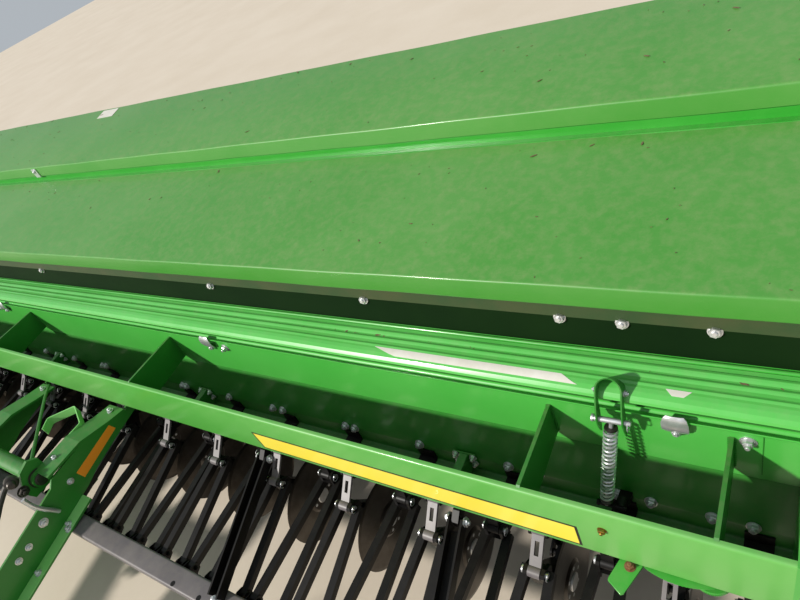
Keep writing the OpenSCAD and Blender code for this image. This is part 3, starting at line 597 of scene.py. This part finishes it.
for side in (-1, 1):
    middle = side * LID_SPRING_X
    legs = [[[(middle + e * r, y, sloped(y, z))
              for r, y in ((outside, y0), (outside, y1), (inside, y1), (inside, y0))]
             for z, y0, y1 in LEG_EDGES] for e in (-1, 1)]
    arch = []
    for k in range(1, 12):
        a = math.pi * (1 - k / 12)
        across, rise = math.cos(a), math.sin(a)
        y0, y1 = 220 + 14 * rise, 250 + 12 * rise
        arch.append([(middle + r * across, y, sloped(y, 884 + r * rise))
                     for r, y in ((outside, y0), (outside, y1), (inside, y1), (inside, y0))])
    ears.skin(legs[0] + arch + legs[1][::-1], caps=True)
ears.place("seed_lid", "green_paint", shaded_green, hides=("spring_clevises",), edge=0.8)
ear_pins = Piece("spring_clevis_pins")
for side in (-1, 1):
    x = side * LID_SPRING_X
    ear_pins.turned([(0, -43), (9, -43), (9.5, -38), (7, -37), (7, 37), (5.5, 43), (0, 43)],
                    (x, *LIFT_CLEVIS), ALONG, 20)
    ear_pins.cotter_ring((x + 37, *LIFT_CLEVIS), 13)
    for e in (-1, 1):
        ear_pins.bolt((x + e * outside, 234, 868), (e, 0, 0), 7, 3)
ear_pins.place("seed_lid", "zinc_plate", zinc)

# A pressed and bowed plate with cut corners, held by one screw through its foot.
# Each row is its half width, its distance and its height.
catches = Piece("seed_lid_latches")
bow = 2.2
CATCH_ROWS = [(10, 241.4, 742), (14, 240, 748), (25, 233.5, 756), (28, 228.5, 768), (28, 225.5, 782),
              (28, 226, 794), (24, 229.5, 806), (18, 233, 812)]
for x in (-2424, -840, 840, 2424):
    catches.skin([[(x + w * t, y - bow * (1 - t * t), z) for t in (-1, -0.6, -0.2, 0.2, 0.6, 1)]
                  + [(x + w * t, y + bow * t * t, z + 1) for t in (1, 0.6, 0.2, -0.2, -0.6, -1)]
                  for w, y, z in CATCH_ROWS], caps=True)
    catches.bolt((x, 237, 752), (0, -1, 0.35), 10, 4)
catches.place("frame", "zinc_plate", zinc, hides=("latches",), edge=0.4)

dial = Piece("setting_dial")
dial.turned([(0, 0), (40, 0), (42, 2), (42, 10), (40, 12), (0, 12)], (DIAL_X, DIAL_Y, 520), UP, 144,
            bump=lambda i, h, r: -1.6 if i % 2 and r > 41 else 0)
dial.turned([(0, 12), (16, 12), (16, 30), (13, 34), (0, 34)], (DIAL_X, DIAL_Y, 520), UP, 28)
# The thin plate with the dial's notched, curved scale lies under the channel's flange
scale_radius, scale_z = 171, 552.4
scale_edge = [(2454 + scale_radius * math.sin(a), 158 - scale_radius * math.cos(a)) for a in
              (math.radians(-24 + 1.2 * i) for i in range(41))]
dial.push([(x, y - 0.8 * (i % 2), scale_z) for i, (x, y) in enumerate(scale_edge)]
          + [(2524, 54, scale_z), (2384, 54, scale_z)], (0, 0, 1.6))
dial.place("frame", "green_paint", green, hides=("setting_disc",))


# Frame and tongue

# The hollow square tube, with two ears for each arm and black discs on its top as painted shade for holes
TUBE_TOP = 402
tube = Piece("drawbar_square_tube")
ring = outline([(-470, 330), (-398, 330), (-398, TUBE_TOP), (-470, TUBE_TOP)], 9, 5)
inner = outline([(-465, 335), (-403, 335), (-403, 397), (-465, 397)], 5, 5)
end = BOX_HALF - 30
tube.skin([[(x, y, z) for y, z in shape] for x, shape in
           ((-end, ring), (end, ring), (end, inner), (-end, inner))], ring=True)
ear = outline([(-399, 390), (-399, 342), (-372, 352), (-366, 366), (-372, 380)], 5, 2)
for x in FRONT_X + REAR_X:
    for e in (-ARM_SPREAD, ARM_SPREAD):
        for f in (-15.5, 15.5):
            tube.slab(ear, x + e + f - 1.5, x + e + f + 1.5, paint=1)
# Black discs standing in for holes: painted shade
for x in (-1162, -1029, 1016, 1148):
    tube.turned([(0, 0), (9, 0), (9, 0.5), (0, 0.5)], (x, -456, TUBE_TOP), UP, 20, paint=1)
tube.place("frame", "grey_paint", grey, black, hides=("drawbar_tube",))

arm_pins = Piece("arm_pivot_pins")
for x in FRONT_X + REAR_X:
    for e in (-ARM_SPREAD, ARM_SPREAD):
        arm_pins.disc(6.8, 36, (x + e - 18, *ARM_PIVOT), ALONG, 12)
        for way in (-1, 1):
            arm_pins.bolt((x + e + way * 17, *ARM_PIVOT), (way, 0, 0), 8, 3)
arm_pins.place("frame", "black_paint", black)

# Rows of bolts through the back plate, the bright wall, the box's front wall and the tube
bolts = Piece("frame_bolts")
for x in REAR_X:
    bolts.bolt((x - 13, 202, 473), (0, -1, 0.25), 14, 6)
for x in (-2493, -2355, -1100, -200, 470, 1000, 1400, 2060, 2355, 2493):
    bolts.bolt((x, 202, 472), (0, -1, 0.25), 14, 6)
for x in (n * PITCH for n in (-6, -2, 2, 6)):
    for e in (-29, 29):
        bolts.bolt((x + e, 197, 482), AHEAD, 10, 7)
        bolts.bolt((x + e, 197, 452), AHEAD, 10, 7)
for x in (-2560, -914, 914, 2560):
    bolts.turned([(6, 0), (17, 0), (17, 2), (6, 3)], (x, WALL_Y, 756), AHEAD, 24)
    bolts.bolt((x, WALL_Y - 2, 756), AHEAD, 12, 8)
for x in (-2491, -2172, -922, -300, 922, 1600, 2172, 2311, 2491):
    bolts.bolt((x, 342, 976), (0, -1, 0.3), 13, 4)
for x in (-2100, 2100):
    bolts.bolt((x, -455, TUBE_TOP), UP, 12, 6)
# The end frames, the rear beam's uprights, the tongue plates and the shaft's bearings
for side in (-1, 1):
    x = side * (BOX_HALF + 12)
    for y, z in ((40, 600), (40, 720), (200, 640), (420, 900), (600, 930), (800, 930), (1000, 930),
                 (1140, 900), (1180, 620), (1180, 720), (660, 560), (820, 560)):
        bolts.bolt((x, y, z), (side, 0, 0), 14, 8)
    for x in (-1500, -500, 500, 1500):
        for z in (900, 940):
            bolts.bolt((x + side * 14, 1190, z), (side, 0, 0), 10, 5, washer=False)
    plate_face = side * 344.8
    for y, z, size in ((-496, 490, 16), (-584, 469, 12), (-636, 462, 12), (-335, 520, 12),
                       (-800, 420, 12), (-860, 360, 12), (-860, 420, 12), (-800, 370, 12)):
        bolts.bolt((plate_face, y, z), (side, 0, 0), size, 7)
    for x, y in ((372, -455), (388, -470), (372, -635), (372, -790)):
        bolts.bolt((side * x, y, 437.6 + (y + 345) * 0.2), (0, -0.2, 0.98), 12, 7)
    for y, z in ((-40, 563), (-300, 603)):
        bolts.bolt((side * 290, y, z), UP, 12, 6)
    for x in (1168, 1912):
        brace_eye = (-14, 525)
        bolts.disc(15, 3, (side * x - 27, *brace_eye), ALONG, 16)
        bolts.bolt((side * x + 22, *brace_eye), ALONG, 13, 5)
        bolts.bolt((side * x - 22, *brace_eye), (-1, 0, 0), 13, 5)
        bolts.bolt((side * (x + 58), -440, 420), UP, 12, 6)
for y in (500, 620, 700, 960):
    bolts.bolt((BOX_HALF + 42, y, 600), ALONG, 12, 6)
bolts.place("frame", "zinc_plate", zinc)

yellow_bolts = Piece("yellow_zinc_bolts")
for x in (-2312, 2312):
    yellow_bolts.bolt((x, 0, 687), AHEAD, 9, 4)
yellow_bolts.place("frame", "zinc_plate", brass_zinc)

tab = Piece("channel_tab_bracket")
tab.push([(2333, 6, 548), (2384, 6, 548), (2356, -68, 546), (2350, -72, 546), (2318, -50, 546),
          (2318, -44, 546)], (0, 0, 6))
tab.place("frame", "green_paint", green, edge=1)
tab_bolt = Piece("tab_bracket_bolt")
tab_bolt.bolt((2357, -6, 553), UP, 11, 4)
tab_bolt.place("frame", "zinc_plate", rusty)

pivot = Piece("tongue_pivot_boss")
for side in (-1, 1):
    pivot.turned([(0, 0), (26, 0), (26, 4), (20, 6), (20, 10), (0, 12)],
                 (side * 262, *TONGUE_PIVOT), (side, 0, 0), 28)
    pivot.turned([(33.2, 0), (40, 0), (40, 3), (33.2, 3)], (side * 241, *TONGUE_PIVOT), (side, 0, 0), 32)
    pivot.bolt((side * 240, -446, 580), (side, 0, 0), 20, 9)
pivot.place("frame", "zinc_plate", dark_steel)

handle = Piece("tongue_lock_handle")
handle.tube(smooth_path([(352, -437, 474), (356, -446, 500), (358, -462, 540), (356, -472, 580),
                         (350, -474, 622)], 5), 8.5, 14)
handle.place("frame", "zinc_plate", zinc)

# The skin on the tongue plates' upper flanges, lightened as painted light
flange = Piece("tongue_plate_flanges")
for side in (-1, 1):
    flange.slab([(-346, 436), (-702, 365), (-899, 325), (-899, 326.8), (-702, 366.8), (-346, 437.8)],
                side * 345.5, side * 402.5)
flange.place("frame", "green_paint", flange_painted_light_green, edge=0.6)

# The cylinder's fitting and its hose, which hangs ahead between the tongue plates
fitting = Piece("hydraulic_fitting")
fitting.turned([(0, 0), (24, 0), (26, 4), (26, 22), (22, 26), (16, 28), (16, 44), (12, 50), (0, 51)],
               (226, -440, 640), (1, -0.35, 0.2), 20)
fitting.tube(smooth_path([(222, -440, 640), (200, -470, 622), (196, -520, 590), (200, -600, 540),
                          (214, -760, 486), (210, -980, 470)], 12), 11, 10, paint=1)
fitting.place("frame", "zinc_plate", dark_steel, hose_rubber)

stay = Piece("slim_tongue_stay")
stay.tube([(-287, -13, 556), (-200, -80, 568), (-40, -190, 588), (110, -300, 600),
           (170, -345, 604)], 7, 10)
stay.place("frame", "dark_green_paint", shaded_green)

# A bent flat bar, on edge, that ties the slim stay to the flat one
tie = Piece("stay_tie_loop")
tie_path = [(236, -204), (236, -140), (108, -82), (11, -168), (44, -217)]
tie.push([(x, y, 600) for x, y in sheet_section(tie_path, 5, 12)], (0, 0, -38))
# Lightened as painted light, like the flanges
tie.place("frame", "green_paint", flange_painted_light_green, edge=0.8)

crank = Piece("jack_crank")
jack_x, jack_y = JACK
crank.turned([(0, 0), (34, 0), (36, 3), (36, 18), (30, 24), (0, 26)], (jack_x, jack_y, 808), UP, 28)
crank.tube(smooth_path([(jack_x + x, jack_y, z) for x, z in
                        ((0, 826), (0, 850), (10, 858), (72, 858), (92, 862), (96, 880))], 8), 7, 10)
crank.turned([(0, 0), (10, 0), (12, 6), (12, 66), (9, 72), (0, 73)], (jack_x + 96, jack_y, 872), UP, 16)
crank.place("frame", "zinc_plate", zinc)

# Raised buttons on the footboard, set in staggered rows
grips = Piece("footboard_grips")
button_gap = 40
for i in range(-64, 65):
    for j in range(5):
        x, y = (i + 0.5 * (j % 2)) * button_gap, 1288 + button_gap * j
        grips.turned([(0, 0), (8, 0), (6, 2.6), (0, 3)], (x, y, 424), UP, 8)
grips.place("frame", "dark_green_paint", shaded_green)


# Opener fittings

# Each rank's places across, then its strap pin, disc and press wheel as distance and height
for rank, spots, low_pin, disc_at, press_at in (
        ("front", FRONT_X, (-60, 472), (20, 262.8), (351.1, 376.4)),
        ("rear", REAR_X, (30, 438), (400, 252.4), (746.7, 300.8))):
    pins = Piece(rank + "_strap_clevis_pins")
    for x in spots:
        pins.turned([(0, -33), (11, -33), (11, -28), (7.6, -28), (7.6, 34), (0, 36)], (x, *low_pin),
                    ALONG, 14)
        pins.cotter_ring((x + 31, *low_pin), 11)
    pins.place(rank + "_openers", "zinc_plate", zinc)
    hub = Piece(rank + "_disc_hub_bolts")
    for x in spots:
        hub.disc(26, 5, (x + 39, *disc_at), ALONG, 24, edge=2)
        for a in range(0, 360, 60):
            t = math.radians(a)
            hub.bolt((x + 35.5, disc_at[0] + 42 * math.cos(t), disc_at[1] + 42 * math.sin(t)), ALONG, 7,
                     0, False)
    hub.place(rank + "_disc_rank", "zinc_plate", zinc)
    tread = Piece(rank + "_press_tyres")
    rims = Piece(rank + "_press_rims")
    for x in spots:
        tread.turned([(95, -20), (104, -23), (116, -25), (122, -21), (125, -13), (124.2, 0), (125, 13),
                      (122, 21), (116, 25), (104, 23), (95, 20)], (x, *press_at), ALONG, 44)
        rims.turned([(9.3, -25), (26, -25), (29, -7), (60, -3), (88, -6), (93, -21), (97, -22), (97, 22),
                     (93, 21), (88, 6), (60, 3), (29, 7), (26, 25), (9.3, 25)], (x, *press_at), ALONG, 36)
    tread.place(rank + "_press_rank", "tyre_rubber", tyre_rubber, hides=(rank + "_press_wheels",))
    rims.place(rank + "_press_rank", "green_paint", shaded_green)


def ribbed(radius):
    """The radius of a corrugated hose, ring by ring."""
    return lambda i: radius - (1.6 if i % 2 else 0)


front_hoses, rear_hoses, cross_hoses = (Piece(n) for n in
                                        ("front_seed_hoses", "rear_seed_hoses", "cross_seed_hoses"))
for x in FRONT_X:
    front_hoses.tube(smooth_path([(x, HOPPER_Y, 556), (x + 6, 556, 530), (x + 34, 522, 508),
                                  (x + 50, 480, 491), (x + 50, 350, 427), (x + 50, 250, 378),
                                  (x + 42, 205, 362), (x + 16, 150, 352), (x + 2, 112, 342),
                                  (x, 98, 318)], 7), ribbed(13), 8)
for x in REAR_X:
    rear_hoses.tube(smooth_path([(x, HOPPER_Y, 556), (x, 562, 530), (x, 520, 450), (x, 492, 410),
                                 (x, 480, 376)], 7), ribbed(15), 8)
for x in FRONT_X + REAR_X:
    cross_hoses.tube(smooth_path([(x, REAR_HOPPER_Y, 556), (x, REAR_HOPPER_Y - 4, 540), (x, 900, 524),
                                  (x, 780, 516), (x, 660, 516), (x, HOPPER_Y + 8, 518)], 8),
                     ribbed(11), 6)
bent = front_hoses.place(None, "tube_rubber", hose_rubber, hides=("seed_tubes",))
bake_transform(bent)
bent = rear_hoses.place(None, "tube_rubber", hose_rubber)
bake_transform(bent)
cross_hoses.place("frame", "tube_rubber", hose_rubber)


# Carrying wheels

# Half of the tyre's section: bead, bulged side wall, shoulder and three grooves
half_tyre = [(254, 64), (263, 70), (276, 73), (300, 84), (340, 97), (372, 100), (402, 97), (424, 90),
             (438, 78), (444, 62), (445, 44), (444, 42), (436, 41), (436, 35), (445, 34), (445, 16),
             (436, 15), (436, 10), (445, 9)]
tyre_profile = half_tyre + [(r, -h) for r, h in reversed(half_tyre)]
for side, hand in ((-1, "left"), (1, "right")):
    centre = (side * WHEEL_X, *AXLE)
    tyre = Piece(hand + "_wheel_tyre")
    # Notched shoulders, then two raised rings on each side wall
    tyre.turned(tyre_profile, centre, ALONG, 150,
                bump=lambda i, h, r: -7 if abs(h) > 43 and r > 420 and i % 5 in (0, 1) else 0)
    for r, out in ((305, 82), (330, 92)):
        for way in (-1, 1):
            tyre.turned([(r, out), (r + 3, out + 5), (r + 6, out + 2)], centre, (way, 0, 0), 72)
    tyre.place(hand + "_wheel", "tyre_rubber", tyre_rubber, hides=("tyre_" + hand,))
    fittings = Piece(hand + "_wheel_nuts")
    for k in range(6):
        a = 2 * math.pi * (k + 0.5) / 6
        fittings.bolt((side * (WHEEL_X + 24), AXLE[0] + 85 * math.cos(a), AXLE[1] + 85 * math.sin(a)),
                      (side, 0, 0), 14, 8)
    fittings.turned([(25.2, 0), (44, 0), (44, 26), (34, 40), (0, 44)], (side * (WHEEL_X + 45), *AXLE),
                    (side, 0, 0), 32)
    fittings.tube([(side * (WHEEL_X + 20), AXLE[0] + 222, AXLE[1]),
                   (side * (WHEEL_X + 52), AXLE[0] + 214, AXLE[1])], 4, 8)
    fittings.place(hand + "_wheel", "zinc_plate", zinc)


# Films, labels, litter

left, right, low_edge, top_edge, edging = 1198, 2247, 581, 660, 6
stripe = Piece("channel_stripe")
stripe.block((left, -0.7, low_edge), (right, 0, top_edge))
stripe.place("frame", "green_paint", stripe_yellow)
line = Piece("channel_stripe_key_line")
line.block((left - edging, -0.5, low_edge - edging), (right + edging, 0, low_edge))
line.block((left - edging, -0.5, top_edge), (right + edging, 0, top_edge + edging))
line.block((left - edging, -0.5, low_edge), (left, 0, top_edge))
line.block((right, -0.5, low_edge), (right + edging, 0, top_edge))
line.place("frame", "black_paint", key_line)


def front_lid_z(y):
    """Just above the front lid's sloping top."""
    return 1115.2 + (y - 304.5) * LID_SLOPE


def rear_lid_z(y):
    """Just above the rear lid's sloping top."""
    return 1269.2 + (y - 776.5) * LID_SLOPE


def on_nose(made, top, low, rows):
    """A film on the seed lid's nose between the x limits of its top and bottom edge."""
    last = len(rows) - 1
    skins = []
    for i, (y, z) in enumerate(rows):
        x0, x1 = (top[k] + (low[k] - top[k]) * i / last for k in (0, 1))
        skins.append([(x0, y, z), (x1, y, z), (x1, y + 0.5, z - 0.9), (x0, y + 0.5, z - 0.9)])
    made.skin(skins, caps=True)


label = Piece("rear_lid_blank_label")
label.push([(x, y, rear_lid_z(y)) for x, y in ((-440, 1110), (-300, 1110), (-300, 1170), (-440, 1170))],
           (0, 0, 0.5))
label.place("rear_lid", "green_paint", white_film)
label = Piece("seed_lid_white_strip")
on_nose(label, (1637, 2181), (1715, 2222),
        [(259.5, 873.2), (254, 872.3), (248, 870.8), (243, 869), (239, 867.2)])
label.place("seed_lid", "green_paint", white_film)
label = Piece("seed_lid_cream_label")
on_nose(label, (2406, 2457), (2420, 2443), [(259.5, 873.2), (252, 872), (245, 869.9)])
label.place("seed_lid", "green_paint", white_film)
label = Piece("tongue_blank_label")
label.push([(345, -96, 557), (345, -86, 524), (345, -294, 482), (345, -301, 524)], (0.6, 0, 0))
label.place("frame", "dark_green_paint", orange_film)
catch = Piece("rear_lid_catch")
catch.block((-697, 769, 1214), (-653, 775, 1262))
catch.bolt((-675, 769, 1248), AHEAD, 8, 3)
catch.place("rear_lid", "zinc_plate", zinc, edge=1)


def scatter(name, body, count, spot):
    """Dry leaves, chaff and seed husks that lie on a lid, each a thin six-sided flake."""
    made = Piece(name)
    for _ in range(count):
        x, y, z = spot(litter.uniform(-2600, 2640), litter.random() ** 1.3)
        size = litter.choice((1, 1.3, 1.6, 2, 2.6, 5)) * litter.uniform(0.7, 1.4)
        turn = litter.uniform(0, math.pi)
        ring = []
        for a in (0, 1.0, 2.1, 3.1, 4.2, 5.3):
            along, aside = 1.6 * size * math.cos(a), 0.5 * size * math.sin(a)
            ring.append((x + along * math.cos(turn) - aside * math.sin(turn),
                         y + along * math.sin(turn) + aside * math.cos(turn),
                         z + size * 0.12 * litter.random()))
        made.push(ring, (0, 0, 0.5))
    made.place(body, "green_paint", leaf_brown)


scatter("front_lid_litter", "front_lid", 110,
        lambda x, t: (x, 740 - 420 * t, front_lid_z(740 - 420 * t) + 0.5))
scatter("rear_lid_litter", "rear_lid", 120,
        lambda x, t: (x, 1172 - 380 * t, rear_lid_z(1172 - 380 * t) + 0.5))
scatter("seed_lid_litter", "seed_lid", 60, lambda x, t: (x, 296 + 4 * t, 874.4 + 0.6 * t))


# Floor, light, camera

# Pale, dusty concrete that gives the arms their dark outline.
floor_mesh = bpy.data.meshes.new("workshop_floor")
half = 30
floor_mesh.from_pydata([(-half, -half, 0), (half, -half, 0), (half, half, 0), (-half, half, 0)],
                       [], [(0, 1, 2, 3)])
floor = bpy.data.objects.new("workshop_floor", floor_mesh)
floor_mesh.materials.append(finish("pale concrete floor", "#dccfbd", "#cfc0ab", 0.8, patch=900, wear=0.5,
                                   dusty=0.05))
bpy.context.scene.collection.objects.link(floor)

sky = bpy.data.worlds.new("soft studio surround")
bpy.context.scene.world = sky
sky.use_nodes = True
surround = sky.node_tree.nodes["Background"].inputs
surround["Color"].default_value = (0.86, 0.93, 1.0, 1.0)
surround["Strength"].default_value = 0.5

# A low, soft-edged light from the front left, where the photograph's shadows come from
key = bpy.data.lights.new("key light", "SUN")
key.energy = 4.4
key.angle = math.radians(3)
key.color = (1.0, 0.96, 0.9)
lamp = bpy.data.objects.new("key light", key)
lamp.rotation_euler = Vector((-0.55, -0.75, 0.5)).to_track_quat("Z", "Y").to_euler()
bpy.context.scene.collection.objects.link(lamp)

# Stands where the photograph was taken from, high at the front and looking along the boxes
lens = bpy.data.cameras.new("camera")
lens.lens = 26.325
lens.sensor_width = 36
lens.clip_end = 200
camera = bpy.data.objects.new("camera", lens)
camera.matrix_world = Matrix(((0.8255, -0.0732, 0.5596, 2.621), (0.4429, 0.6985, -0.5621, -0.1437),
                              (-0.3497, 0.7118, 0.6091, 1.9566), (0, 0, 0, 1)))
bpy.context.scene.collection.objects.link(camera)
bpy.context.scene.camera = camera
bpy.context.scene.view_settings.view_transform = "Standard"
